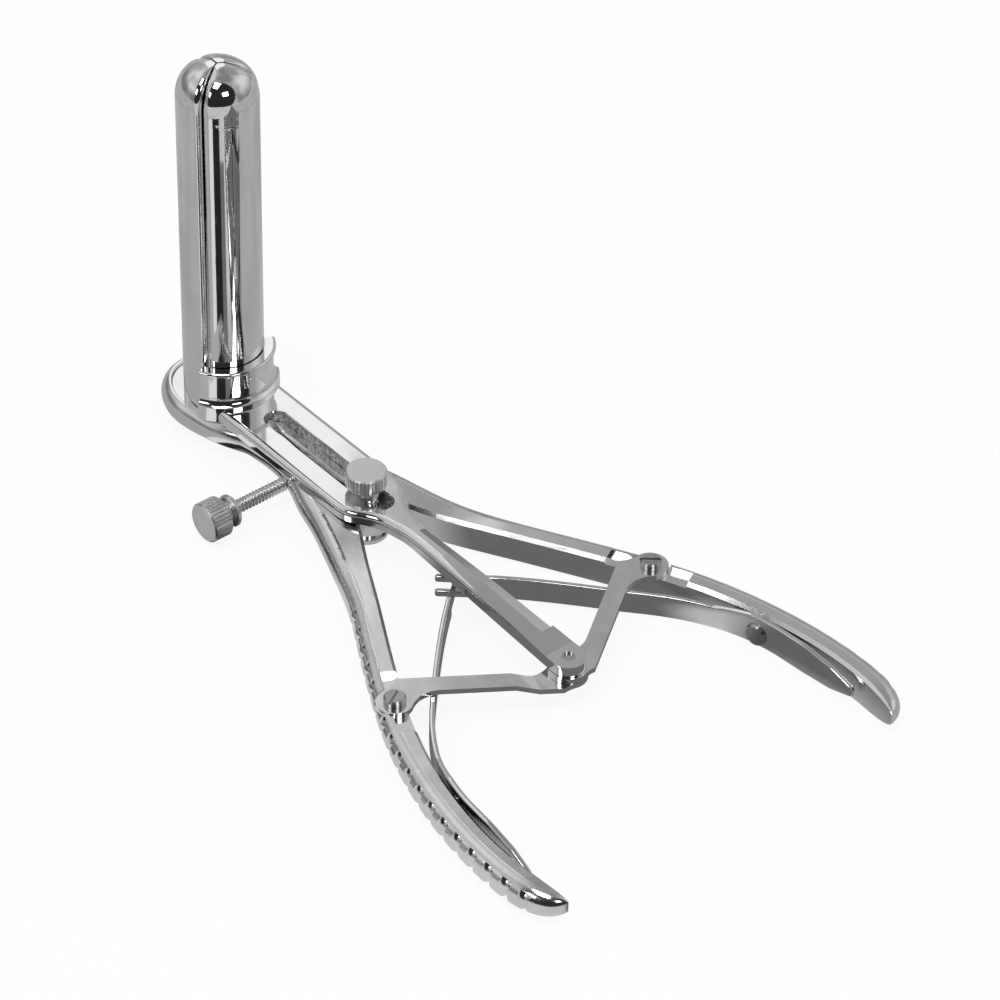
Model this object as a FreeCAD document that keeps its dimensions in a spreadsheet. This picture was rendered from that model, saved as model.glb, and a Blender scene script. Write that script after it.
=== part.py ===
import FreeCAD, Part
import Sketcher
import math
import os

# Three-prong rectal speculum, millimetres, +Z up.
# The origin is the centre of the pivot nut's flat underside, +X points along the slide
# towards the handles and +Y is the side of the handle that has no set screw.

DOC = FreeCAD.newDocument("Speculum")
SHEET = DOC.addObject("Spreadsheet::Sheet", "Sizes")
UP = FreeCAD.Vector(0, 0, 1)


def vec(x, y, z=0.0):
    return FreeCAD.Vector(x, y, z)


# Driving dimensions: alias, value, what it is
DIMENSIONS = [
    ("flange_height", 1.2, "pivot nut: flange"),
    ("flange_radius", 5.0, "pivot nut: flange"),
    ("hub_height", 2.2, "pivot nut: hub above the flange"),
    ("hub_radius", 3.9, "pivot nut: hub"),
    ("stud_radius", 2.0, "pivot post: end that the nut holds"),
    ("barrel_radius", 2.7, "pivot post: bearing for both arms"),
    ("guide_height", 1.8, "pivot post: guide block inside the slide's slot"),
    ("thumb_hole_depth", 6.8, "pivot post: threaded hole for the thumb screw"),
    ("running_gap", 0.07, "radial clearance of a bearing"),
    ("thread_gap", 0.05, "radial clearance of a screw in its hole"),
    ("face_gap", 0.1, "clearance between faces that slide on each other"),
    ("arm_under", 2.0, "underside of the arms above the rest plane"),
    ("arm_height", 6.9, "arms: height at the pivot"),
    ("neck_rise", 0.7, "arms: underside of ring and neck above the pivot's"),
    ("handle_drop", 1.35, "handles: fall of top and underside behind the pivot"),
    ("arm_width", 7.2, "arms: width between ring and pivot"),
    ("waist_width", 10.2, "arms: width beside the pivot"),
    ("shoulder_width", 8.2, "handles: width at the shoulder"),
    ("arm_bevel", 0.8, "arms: bevel of the inner top edge"),
    ("arm_parting", 0.3, "gap between the closed arms"),
    ("lug_radius", 6.0, "arms: lapped pivot lugs"),
    ("ring_half_length", 12.4, "ring: inside half length"),
    ("ring_half_width", 9.9, "ring: inside half width"),
    ("ring_lead", 1.5, "ring: centre ahead of the prong axis"),
    ("ring_wall", 2.5, "ring: wall"),
    ("prong_offset", 51.5, "prong axis ahead of the pivot"),
    ("prong_radius", 9.2, "closed prongs: outside"),
    ("prong_wall", 1.8, "prongs: wall"),
    ("prong_length", 85.4, "prongs: apex above the slide's top"),
    ("dome_height", 8.6, "prongs: domed end"),
    ("seam_round", 1.3, "prongs: rounding of the outer edges along the seams"),
    ("seam_gap", 0.4, "gap between the closed prongs"),
    ("foot_height", 5.2, "side prongs: foot inside the ring"),
    ("foot_under", 3.0, "side prongs: underside of the foot"),
    ("foot_gap", 0.1, "side prongs: clearance of the foot in the ring"),
    ("foot_flare", 2.2, "side prongs: flare above the foot"),
    ("plate_thickness", 3.0, "slide: plate"),
    ("plate_half_width", 8.6, "slide: half width beside the slot"),
    ("plate_round", 1.5, "slide: rounding of the top edges of the plate"),
    ("slot_front", 35.0, "slide: front end of the slot ahead of the pivot"),
    ("slot_rear", 8.2, "slide: rear end of the slot behind the pivot"),
    ("slot_width", 6.04, "slide: slot"),
    ("slot_rim", 2.0, "slide: rim round the rear end of the slot"),
    ("bar_neck_half", 2.5, "slide: half width of the bar behind the slot"),
    ("bar_end_radius", 3.9, "slide: rounded end of the bar"),
    ("bar_drop", 1.7, "slide: fall of the bar's top to the rivet"),
    ("bar_level", 28.0, "slide: length of level top behind the pivot"),
    ("bar_bevel", 1.0, "slide: bevel along one side of the bar"),
    ("rivet_offset", 68.5, "rear rivet behind the pivot"),
    ("rivet_radius", 1.5, "rear rivet: shank"),
    ("rivet_head_radius", 3.2, "rear rivet: lower head"),
    ("rivet_head_height", 1.0, "rear rivet: lower head"),
    ("socket_gap", 0.25, "socket: clearance round the prongs"),
    ("socket_wall", 1.8, "socket: wall"),
    ("socket_height", 9.6, "socket: height above the slide"),
    ("socket_bead", 0.6, "socket: bead round the rim"),
    ("socket_flange", 12.6, "socket: radius of the base flange"),
    ("socket_flange_height", 1.3, "socket: base flange"),
    ("socket_half_angle", 65.0, "socket: half of its sweep round the prong"),
    ("link_arm", 65.0, "link screws: distance from the pivot"),
    ("link_angle", 33.3, "link screws: angle from the slide"),
    ("link_seat", 2.4, "link screws: distance from the handle's inner face"),
    ("link_level", 6.2, "link recess: floor above the rest plane"),
    ("link_thickness", 1.3, "links: thickness"),
    ("link_width", 4.2, "links: width of the bar"),
    ("link_eye_radius", 4.0, "links: eye on the handle"),
    ("link_end_radius", 4.4, "links: eye on the rivet"),
    ("link_skew", 12.8, "links: turn of the bar from the line of the eyes"),
    ("link_shift", 0.75, "links: bar in front of the line of the eyes"),
    ("link_fillet", 6.5, "links: hollow between bar and eyes"),
    ("link_gap", 0.05, "links: clearance under and over each"),
    ("recess_half_length", 9.6, "link recess: half length along the handle"),
    ("recess_margin", 0.6, "link recess: clearance round the eye"),
    ("pivot_screw_radius", 1.6, "link screws: bearing for the eye"),
    ("pivot_screw_head", 2.4, "link screws: head radius"),
    ("pivot_screw_height", 1.5, "link screws: head height"),
    ("pivot_screw_thread", 1.3, "link screws: thread radius"),
    ("pivot_screw_length", 3.0, "link screws: thread length"),
    ("driver_slot", 0.6, "screwdriver slots: width"),
    ("driver_depth", 0.5, "screwdriver slots: depth"),
    ("shoulder_x", 12.0, "handles: start of the inner face behind the pivot"),
    ("shoulder_y", 9.6, "handles: start of the inner face beside the slide"),
    ("shoulder_angle", 28.0, "handles: direction of the inner face at its start"),
    ("bow_angle", 27.0, "handles: direction of the inner face at the link"),
    ("handle_length", 121.0, "handles: tip behind the pivot"),
    ("handle_spread", 44.7, "handles: tip beside the slide"),
    ("tip_angle", -12.0, "handles: direction of the inner face at the tip"),
    ("handle_width", 6.5, "handles: width at the link"),
    ("grip_width", 6.1, "handles: width at the grip"),
    ("tip_round", 13.0, "handles: length of the rounded tip"),
    ("rib_pitch", 5.0, "ribs: pitch along the grip"),
    ("rib_count", 18, "ribs: hollows between the ribs"),
    ("rib_start", 29.0, "ribs: first hollow behind the pivot"),
    ("rib_radius", 1.7, "ribs: radius of the hollows"),
    ("rib_depth", 0.95, "ribs: depth of the hollows"),
    ("spring_thickness", 1.2, "leaf springs: thickness"),
    ("spring_height", 5.7, "leaf springs: height of the free part"),
    ("spring_root", 7.3, "leaf springs: height at the screw"),
    ("spring_under", 0.3, "leaf springs: lower edge above the rest plane"),
    ("spring_meet", 30.8, "leaf springs: crossing behind the pivot"),
    ("spring_leave", 78.0, "leaf springs: where they leave the handles"),
    ("spring_rise", 1.6, "leaf springs: rise from the screw to the crossing"),
    ("spring_bow", 2.4, "leaf springs: bulge of the free part towards the handle"),
    ("spring_gap", 0.15, "leaf springs: clearance to the handle"),
    ("spring_tail", 106.0, "leaf springs: end of the tail"),
    ("fork_overlap", 4.2, "right spring: fork beyond the crossing"),
    ("fork_depth", 8.5, "right spring: depth of the fork"),
    ("fork_gap", 2.4, "right spring: gap of the fork"),
    ("tongue_height", 1.9, "left spring: tongue"),
    ("tongue_length", 9.0, "left spring: tongue"),
    ("tongue_overlap", 2.4, "left spring: tongue beyond the crossing"),
    ("spring_screw_at", 81.8, "spring screws: behind the pivot"),
    ("spring_screw_head", 2.7, "spring screws: head radius"),
    ("spring_screw_height", 1.1, "spring screws: head height"),
    ("spring_screw_thread", 1.4, "spring screws: thread radius"),
    ("spring_screw_length", 4.0, "spring screws: thread length"),
    ("knob_radius", 4.65, "knurled heads: radius"),
    ("knob_height", 3.9, "thumb screw: head height"),
    ("knob_clearance", 1.65, "thumb screw: head above the slide"),
    ("knurl_count", 34, "knurled heads: grooves"),
    ("knurl_depth", 0.28, "knurled heads: depth of the grooves"),
    ("knob_edge", 0.35, "knurled heads: rounded edges"),
    ("thumb_rod_radius", 1.5, "thumb screw: thread radius"),
    ("thumb_rod_length", 7.6, "thumb screw: thread length"),
    ("set_rod_radius", 1.6, "set screw: thread radius"),
    ("set_rod_length", 21.6, "set screw: thread length"),
    ("set_rod_inset", 0.35, "set screw: tip behind the arm's inner face"),
    ("set_offset", 19.5, "set screw: axis ahead of the pivot"),
    ("set_drop", 0.25, "set screw: axis below the middle of the arms"),
    ("set_head_length", 4.9, "set screw: knurled part"),
    ("set_neck_radius", 2.5, "set screw: neck"),
    ("set_neck_length", 1.7, "set screw: neck"),
    ("set_disc_radius", 3.75, "set screw: shoulder disc"),
    ("set_disc_length", 1.4, "set screw: shoulder disc"),
]
for row, (alias, value, meaning) in enumerate(DIMENSIONS, start=1):
    SHEET.set("A%d" % row, meaning)
    SHEET.set("B%d" % row, str(value))
    SHEET.setAlias("B%d" % row, alias)
DOC.recompute()


def size(alias):
    """Value of one driving dimension."""
    return float(getattr(SHEET, alias))


# Levels and places that follow from the driving dimensions
ARM_TOP = size("arm_under") + size("arm_height")
ARM_MIDDLE = size("arm_under") + size("arm_height") / 2 - size("set_drop")
LUG_UNDER = size("flange_height") + size("hub_height") + size("face_gap")
LUG_SPLIT = (LUG_UNDER + ARM_TOP) / 2
PLATE_UNDER = ARM_TOP + size("face_gap")
PLATE_TOP = PLATE_UNDER + size("plate_thickness")
BAR_END_TOP = PLATE_TOP - size("bar_drop")
RECESS_FLOOR = size("link_level")
HANDLE_TOP = ARM_TOP - size("handle_drop")
HANDLE_UNDER = size("arm_under") - size("handle_drop")
NECK_UNDER = size("arm_under") + size("neck_rise")
LINK_UNDER = RECESS_FLOOR + size("link_gap")
LINK_TOP = LINK_UNDER + size("link_thickness")
LOW_LINK_TOP = LINK_UNDER - size("link_gap")
LOW_LINK_UNDER = LOW_LINK_TOP - size("link_thickness")
BAR_END_UNDER = LINK_TOP + size("face_gap")
PRONG_X = -size("prong_offset")
RING_X = PRONG_X - size("ring_lead")
LINK_X = size("link_arm") * math.cos(math.radians(size("link_angle")))
LINK_Y = size("link_arm") * math.sin(math.radians(size("link_angle")))
KNOB_UNDER = PLATE_TOP + size("knob_clearance")
PARTS = []


def keep(obj, label):
    """Names a finished sub-part and puts it on the list that is written."""
    obj.Label = label
    PARTS.append(obj)
    return obj


def shaped(label, shape, placement=None):
    """A sub-part whose shape is worked out from the sheet by this file."""
    obj = DOC.addObject("Part::Feature", label)
    obj.Shape = shape
    if placement is not None:
        obj.Placement = placement.multiply(shape.Placement)
    return keep(obj, label)


def plane_of(body, role):
    """One origin plane of a body, found by its role."""
    return [f for f in body.Origin.OriginFeatures if f.Role == role][0]


def turned(label, points, height="0", turn=None):
    """A turned piece: points are (radius, level) expressions round the body's Z axis."""
    body = DOC.addObject("PartDesign::Body", label)
    sketch = body.newObject("Sketcher::SketchObject", label + "_profile")
    sketch.AttachmentSupport = [(plane_of(body, "XZ_Plane"), "")]
    sketch.MapMode = "FlatFace"
    DOC.recompute()
    places = [[float(sketch.evalExpression(e)) for e in pair] for pair in points]
    count = len(points)
    for i in range(count):
        a, b = places[i], places[(i + 1) % count]
        sketch.addGeometry(Part.LineSegment(vec(a[0], a[1]), vec(b[0], b[1])), False)
    for i in range(count):
        sketch.addConstraint(Sketcher.Constraint("Coincident", i, 2, (i + 1) % count, 1))
    for i, pair in enumerate(points):
        for kind, value, rule in zip(("DistanceX", "DistanceY"), places[i], pair):
            n = sketch.addConstraint(Sketcher.Constraint(kind, -1, 1, i, 1, value))
            sketch.setExpression("Constraints[%d]" % n, rule)
    revolution = body.newObject("PartDesign::Revolution", label + "_turned")
    revolution.Profile = sketch
    revolution.ReferenceAxis = (sketch, ["V_Axis"])
    revolution.Angle = 360
    DOC.recompute()
    if turn is not None:
        body.Placement = turn
    body.setExpression("Placement.Base.z", height)
    return keep(body, label)


def sheet(text):
    """Writes S.name as a reference to the size sheet."""
    return text.replace("S.", "Sizes.")


def knurled(body, label, radius, low, high):
    """Cuts the straight knurl of a head: one groove, repeated round the Z axis."""
    sketch = body.newObject("Sketcher::SketchObject", label + "_groove")
    sketch.AttachmentSupport = [(plane_of(body, "XY_Plane"), "")]
    sketch.MapMode = "FlatFace"
    sketch.setExpression("AttachmentOffset.Base.z", sheet(low))
    rim = size(radius)
    half = math.pi * rim / size("knurl_count") * 0.62
    root = rim - size("knurl_depth")
    corners = [vec(root, 0), vec(rim + 0.3, half), vec(rim + 0.3, -half)]
    for i in range(3):
        sketch.addGeometry(Part.LineSegment(corners[i], corners[(i + 1) % 3]), False)
    for i in range(3):
        sketch.addConstraint(Sketcher.Constraint("Coincident", i, 2, (i + 1) % 3, 1))
    sketch.addConstraint(Sketcher.Constraint("Symmetric", 1, 1, 1, 2, -1))
    deep = sketch.addConstraint(Sketcher.Constraint("DistanceX", -1, 1, 0, 1, root))
    sketch.setExpression("Constraints[%d]" % deep, sheet("S.%s - S.knurl_depth" % radius))
    wide = sketch.addConstraint(Sketcher.Constraint("DistanceX", -1, 1, 1, 1, rim + 0.3))
    sketch.setExpression("Constraints[%d]" % wide, sheet("S.%s + 0.3" % radius))
    span = sketch.addConstraint(Sketcher.Constraint("DistanceY", 1, 2, 1, 1, 2 * half))
    rule = "S.%s * 2 * pi * 0.62 / S.knurl_count" % radius
    sketch.setExpression("Constraints[%d]" % span, sheet(rule))
    pocket = body.newObject("PartDesign::Pocket", label + "_cut")
    pocket.Profile = sketch
    pocket.Reversed = True
    pocket.setExpression("Length", sheet("%s - (%s)" % (high, low)))
    DOC.recompute()
    pattern = body.newObject("PartDesign::PolarPattern", label + "_knurl")
    pattern.Originals = [pocket]
    pattern.Axis = (sketch, ["N_Axis"])
    pattern.Angle = 360
    pattern.setExpression("Occurrences", sheet("S.knurl_count"))
    body.Tip = pattern
    DOC.recompute()


# Pivot: flanged round nut, shouldered post, both clamped together
turned("pivot_nut", [[sheet(e) for e in pair] for pair in [
    ("S.stud_radius", "0"),
    ("S.flange_radius - 0.3", "0"),
    ("S.flange_radius", "0.3"),
    ("S.flange_radius", "S.flange_height"),
    ("S.hub_radius", "S.flange_height"),
    ("S.hub_radius", "S.flange_height + S.hub_height"),
    ("S.stud_radius", "S.flange_height + S.hub_height")]])

POST_FLOOR = "S.flange_height + S.hub_height"
POST_SEAT = "S.arm_under + S.arm_height + S.face_gap"
GUIDE_TOP = POST_SEAT + " + S.guide_height"
turned("pivot_post", [[sheet(e) for e in pair] for pair in [
    ("0", "0"),
    ("S.stud_radius", "0"),
    ("S.stud_radius", POST_FLOOR),
    ("S.barrel_radius", POST_FLOOR),
    ("S.barrel_radius", POST_SEAT),
    ("S.slot_width / 2 - S.running_gap", POST_SEAT),
    ("S.slot_width / 2 - S.running_gap", GUIDE_TOP + " - 0.2"),
    ("S.slot_width / 2 - S.running_gap - 0.2", GUIDE_TOP),
    ("S.thumb_rod_radius + S.thread_gap", GUIDE_TOP),
    ("S.thumb_rod_radius + S.thread_gap", GUIDE_TOP + " - S.thumb_hole_depth"),
    ("0", GUIDE_TOP + " - S.thumb_hole_depth - 0.6")]])

# Thumb screw that clamps the slide: knurled head and threaded rod
KNOB_RULE = POST_SEAT + " + S.plate_thickness + S.knob_clearance"
thumb_head = turned("thumb_screw_head", [[sheet(e) for e in pair] for pair in [
    ("0", "0"),
    ("S.knob_radius - S.knob_edge", "0"),
    ("S.knob_radius", "S.knob_edge"),
    ("S.knob_radius", "S.knob_height - S.knob_edge"),
    ("S.knob_radius - S.knob_edge", "S.knob_height"),
    ("0", "S.knob_height")]], sheet(KNOB_RULE))
knurled(thumb_head, "thumb_screw_head", "knob_radius", "-0.1", "S.knob_height + 0.1")
turned("thumb_screw_rod", [[sheet(e) for e in pair] for pair in [
    ("0", "-S.thumb_rod_length"),
    ("S.thumb_rod_radius - 0.4", "-S.thumb_rod_length"),
    ("S.thumb_rod_radius", "0.4 - S.thumb_rod_length"),
    ("S.thumb_rod_radius", "0"),
    ("0", "0")]], sheet(KNOB_RULE))

# Set screw through the left arm: its Z axis is laid along -Y
SET_TURN = FreeCAD.Placement(vec(0, 0), FreeCAD.Rotation(vec(1, 0, 0), 90))
SET_LEVEL = "S.arm_under + S.arm_height / 2 - S.set_drop"
SET_TIP = "0 - S.arm_parting / 2 - S.set_rod_inset"
set_rod = turned("set_screw_rod", [[sheet(e) for e in pair] for pair in [
    ("0", "0"),
    ("S.set_rod_radius - 0.4", "0"),
    ("S.set_rod_radius", "0.4"),
    ("S.set_rod_radius", "S.set_rod_length"),
    ("0", "S.set_rod_length")]], sheet(SET_LEVEL), SET_TURN)
NECK = "S.set_disc_length + S.set_neck_length"
set_head = turned("set_screw_head", [[sheet(e) for e in pair] for pair in [
    ("0", "0"),
    ("S.set_disc_radius - 0.4", "0"),
    ("S.set_disc_radius", "0.4"),
    ("S.set_disc_radius", "S.set_disc_length - 0.4"),
    ("S.set_disc_radius - 0.4", "S.set_disc_length"),
    ("S.set_neck_radius", "S.set_disc_length"),
    ("S.set_neck_radius", NECK),
    ("S.knob_radius - S.knob_edge", NECK),
    ("S.knob_radius", NECK + " + S.knob_edge"),
    ("S.knob_radius", NECK + " + S.set_head_length - S.knob_edge"),
    ("S.knob_radius - S.knob_edge", NECK + " + S.set_head_length"),
    ("0", NECK + " + S.set_head_length")]], sheet(SET_LEVEL), SET_TURN)
knurled(set_head, "set_screw_head", "knob_radius", NECK, NECK + " + S.set_head_length + 0.1")
for screw, rule in ((set_rod, SET_TIP), (set_head, SET_TIP + " - S.set_rod_length")):
    screw.setExpression("Placement.Base.x", sheet("0 - S.set_offset"))
    screw.setExpression("Placement.Base.y", sheet(rule))
DOC.recompute()


# Arms: one D-shaped section carried round the ring, past the pivot and along the handle
def hermite(p, p_angle, q, q_angle, t):
    """Point and direction of the smooth curve from p to q that has the given end directions."""
    span = math.hypot(q[0] - p[0], q[1] - p[1])
    m = [span * math.cos(math.radians(p_angle)), span * math.sin(math.radians(p_angle))]
    n = [span * math.cos(math.radians(q_angle)), span * math.sin(math.radians(q_angle))]
    place = []
    slope = []
    for i in (0, 1):
        place.append((2 * t**3 - 3 * t**2 + 1) * p[i] + (t**3 - 2 * t**2 + t) * m[i]
                     + (3 * t**2 - 2 * t**3) * q[i] + (t**3 - t**2) * n[i])
        slope.append((6 * t**2 - 6 * t) * (p[i] - q[i]) + (3 * t**2 - 4 * t + 1) * m[i]
                     + (3 * t**2 - 2 * t) * n[i])
    return place, math.degrees(math.atan2(slope[1], slope[0]))


SHOULDER = (size("shoulder_x"), size("shoulder_y"))
BOW = (LINK_X + size("link_seat") * math.sin(math.radians(size("bow_angle"))),
       LINK_Y - size("link_seat") * math.cos(math.radians(size("bow_angle"))))
TIP = (size("handle_length"), size("handle_spread"))


def inner_face(x):
    """Point and direction of the handle's inner face at a distance x behind the pivot."""
    if x < BOW[0]:
        ends = (SHOULDER, size("shoulder_angle"), BOW, size("bow_angle"))
    else:
        ends = (BOW, size("bow_angle"), TIP, size("tip_angle"))
    low, high = 0.0, 1.0
    for _ in range(40):
        middle = (low + high) / 2
        if hermite(*ends, middle)[0][0] < x:
            low = middle
        else:
            high = middle
    return hermite(*ends, (low + high) / 2)


def ease(t):
    """Smooth step from 0 to 1."""
    t = min(max(t, 0.0), 1.0)
    return t * t * (3 - 2 * t)


def section(place, direction, width, low, high):
    """D-shaped section: flat inner face, bevelled edge, flat top, rounded outer side."""
    turn = math.radians(direction)
    out = vec(-math.sin(turn), math.cos(turn))
    height = high - low
    bulge = min(0.47 * height, 0.72 * width)
    bevel = min(size("arm_bevel"), 0.25 * (width - bulge) + 0.05)

    def corner(n, z):
        return vec(place[0], place[1], z) + out * n

    foot, toe = corner(0, low), corner(0, high - bevel)
    top, brow = corner(bevel, high), corner(width - bulge, high)
    belly, heel = corner(width, low + 0.46 * height), corner(width - bulge, low)
    return Part.Wire([
        Part.LineSegment(foot, toe).toShape(),
        Part.LineSegment(toe, top).toShape(),
        Part.LineSegment(top, brow).toShape(),
        Part.Arc(brow, belly, heel).toShape(),
        Part.LineSegment(heel, foot).toShape()])


def handle_size(x):
    """Width, underside and top of the handle at a distance x behind the pivot."""
    tip_start = size("handle_length") - size("tip_round")
    fore = ease((x - size("shoulder_x")) / 16.0)
    back = ease((x - 45.0) / (tip_start - 45.0))
    wide = size("shoulder_width") + (size("handle_width") - size("shoulder_width")) * fore
    return wide + (size("grip_width") - wide) * back, HANDLE_UNDER * (1 - back), HANDLE_TOP


def arm_stations():
    """Sections of the right arm from the front of the ring to the tip of the handle."""
    half_gap = size("arm_parting") / 2
    a, b = size("ring_half_length"), size("ring_half_width")
    stations = []
    for angle in (180, 165, 145, 120, 95, 72):
        t = math.radians(angle)
        place = (RING_X + a * math.cos(t), half_gap + b * math.sin(t))
        course = math.degrees(math.atan2(-b * math.cos(t), a * math.sin(t)))
        stations.append((place, course, size("ring_wall"), NECK_UNDER, ARM_TOP))
    leave, leave_course = stations[-1][0], stations[-1][1]
    rear = (RING_X + a + 7.0, half_gap)
    for t in (0.3, 0.62):
        place, course = hermite(leave, leave_course, rear, 0.0, t)
        width = size("ring_wall") + (size("arm_width") - size("ring_wall")) * ease(t + 0.15)
        stations.append((place, course, width, NECK_UNDER, ARM_TOP))
    stations.append((rear, 0.0, size("arm_width"), NECK_UNDER, ARM_TOP))
    stations.append(((-size("set_offset") - 1.5, half_gap), 0.0, size("arm_width"), NECK_UNDER, ARM_TOP))
    waist = (-size("shoulder_x") + 1.0, half_gap)
    stations.append((waist, 4.0, size("waist_width"), size("arm_under"), ARM_TOP))
    place, course = hermite(waist, 4.0, SHOULDER, size("shoulder_angle"), 0.5)
    stations.append((place, course, size("waist_width"), size("arm_under"), ARM_TOP))
    tip_start = size("handle_length") - size("tip_round")
    for x in [SHOULDER[0] + 0.2, 25.0, 38.0, 50.0, 62.0, 73.0, 84.0, 95.0, tip_start]:
        place, course = inner_face(x)
        stations.append((place, course, *handle_size(x)))
    for t in (0.35, 0.62, 0.82, 0.95, 1.0):
        place, course = inner_face(tip_start + size("tip_round") * t)
        slim = math.sqrt(max(1.0 - t**2.4, 0.02))
        middle = 0.56 * HANDLE_TOP
        reach = size("grip_width") * slim
        rise = 0.25 + 0.75 * slim
        stations.append((place, course, reach, middle * (1 - rise), middle + (HANDLE_TOP - middle) * rise))
    return stations


def cylinder(radius, height, place, axis=UP):
    return Part.makeCylinder(radius, height, place, axis)


def block(x0, x1, y0, y1, z0, z1):
    return Part.makeBox(x1 - x0, y1 - y0, z1 - z0, vec(x0, y0, z0))


def along_handle(x, n, z):
    """Point at a distance n outside the handle's inner face."""
    place, course = inner_face(x)
    turn = math.radians(course)
    return vec(place[0] - n * math.sin(turn), place[1] + n * math.cos(turn), z)


def link_recess():
    """Milled seat for the link's eye, open towards the inner face."""
    clear = size("link_eye_radius") + size("recess_margin")
    deep = ARM_TOP - RECESS_FLOOR + 3.0
    eye = cylinder(clear, deep, vec(LINK_X, LINK_Y, RECESS_FLOOR))
    half = size("recess_half_length")
    wide = size("link_seat") + 1.2
    band = Part.makeBox(2 * half, 4.0 + wide, deep, vec(-half, -4.0, RECESS_FLOOR))
    band.rotate(vec(0, 0), UP, size("bow_angle"))
    band.translate(vec(BOW[0], BOW[1]))
    return eye.fuse(band)


def rib_hollows():
    """Row of round hollows across the outer side of the grip, with the ribs left between."""
    tools = []
    for i in range(int(size("rib_count"))):
        x = size("rib_start") + i * size("rib_pitch")
        place, course = inner_face(x)
        width, low, high = handle_size(x)
        bulge = min(0.47 * (high - low), 0.72 * width)
        turn = math.radians(course)
        out = vec(-math.sin(turn), math.cos(turn))
        along = vec(math.cos(turn), math.sin(turn))
        heart = vec(place[0], place[1], low + 0.46 * (high - low)) + out * (width - bulge)
        swing = bulge - size("rib_depth") + size("rib_radius")
        elbow = Part.makeTorus(swing, size("rib_radius"), vec(0, 0), UP, 0, 360, 140)
        elbow.rotate(vec(0, 0), UP, -85)
        frame = FreeCAD.Matrix(out.x, 0, along.x, heart.x, out.y, 0, along.y, heart.y, 0, 1, 0, heart.z)
        elbow.Placement = FreeCAD.Placement(frame).multiply(elbow.Placement)
        tools.append(elbow)
    return tools


def build_arm(upper_lug):
    """The right arm, or the left one before it is mirrored."""
    wires = [section(*station) for station in arm_stations()]
    arm = Part.makeLoft(wires, True, False)
    clear = size("lug_radius") + 2 * size("face_gap")
    split = size("face_gap") / 2
    low, high = size("arm_under"), ARM_TOP
    arm = arm.cut(block(-90, 0, -20, size("arm_parting") / 2, -5, 30))
    arm = arm.cut(block(-90, 150, -20, 90, ARM_TOP, 30))
    arm = arm.cut(cylinder(size("hub_radius") + 0.4, LUG_UNDER - low + 1.0, vec(0, 0, low - 1.0)))
    if upper_lug:
        arm = arm.cut(cylinder(clear, LUG_SPLIT + split - low + 1.0, vec(0, 0, low - 1.0)))
        lug = cylinder(size("lug_radius"), high - LUG_SPLIT - split, vec(0, 0, LUG_SPLIT + split))
    else:
        arm = arm.cut(cylinder(clear, high - LUG_SPLIT + split + 1.0, vec(0, 0, LUG_SPLIT - split)))
        lug = cylinder(size("lug_radius"), LUG_SPLIT - split - LUG_UNDER, vec(0, 0, LUG_UNDER))
    arm = arm.fuse(lug)
    arm = arm.cut(cylinder(size("barrel_radius") + size("running_gap"), 20.0, vec(0, 0, -1.0)))
    arm = arm.cut(link_recess())
    thread = size("pivot_screw_thread") + size("thread_gap")
    depth = size("pivot_screw_length") + 0.2
    arm = arm.cut(cylinder(thread, depth + 1.0, vec(LINK_X, LINK_Y, RECESS_FLOOR - depth)))
    seat, course = inner_face(size("spring_screw_at"))
    turn = math.radians(course)
    out = vec(-math.sin(turn), math.cos(turn))
    start = vec(seat[0], seat[1], SPRING_MIDDLE) - out
    bore = size("spring_screw_thread") + size("thread_gap")
    arm = arm.cut(cylinder(bore, size("spring_screw_length") + 1.3, start, out))
    for hollow in rib_hollows():
        arm = arm.cut(hollow)
    return arm.removeSplitter()


SPRING_MIDDLE = size("spring_under") + size("spring_height") / 2
left_shape = build_arm(True).mirror(vec(0, 0), vec(0, 1, 0))
set_hole = size("set_rod_radius") + size("thread_gap")
set_place = vec(-size("set_offset"), -size("arm_width") - 5.0, ARM_MIDDLE)
left_shape = left_shape.cut(cylinder(set_hole, size("arm_width") + 5.5, set_place, vec(0, 1, 0)))
shaped("left_arm", left_shape)
shaped("right_arm", build_arm(False))


# Prongs: one domed tube, parted by three seams, each prong with its own foot
def prong_outline(radius, level):
    """Closed outline of one third of the tube, rounded where the outside meets the seams."""
    gap = size("seam_gap") / 2
    edge = min(size("seam_round"), 0.32 * (radius - gap))
    u, n = vec(0.5, math.sqrt(0.75)), vec(math.sqrt(0.75), -0.5)
    lift = gap + edge
    heart = u * math.sqrt((radius - edge)**2 - lift**2) + n * lift
    touch = heart - n * edge
    rim = heart * (radius / (radius - edge))
    middle = heart + ((rim - heart) + (touch - heart)).normalize() * edge
    corner = vec(gap / math.sqrt(0.75), 0, level)

    def at(p, side=1):
        return vec(p.x, side * p.y, level)

    return Part.Wire([
        Part.LineSegment(corner, at(touch)).toShape(),
        Part.Arc(at(touch), at(middle), at(rim)).toShape(),
        Part.Arc(at(rim), vec(radius, 0, level), at(rim, -1)).toShape(),
        Part.Arc(at(rim, -1), at(middle, -1), at(touch, -1)).toShape(),
        Part.LineSegment(at(touch, -1), corner).toShape()])


def crown(radius, rise, t):
    """Radius and height of the domed end at a share t of its rise."""
    return radius * (1 - t**2.3)**(1 / 2.2), rise * t


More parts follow.
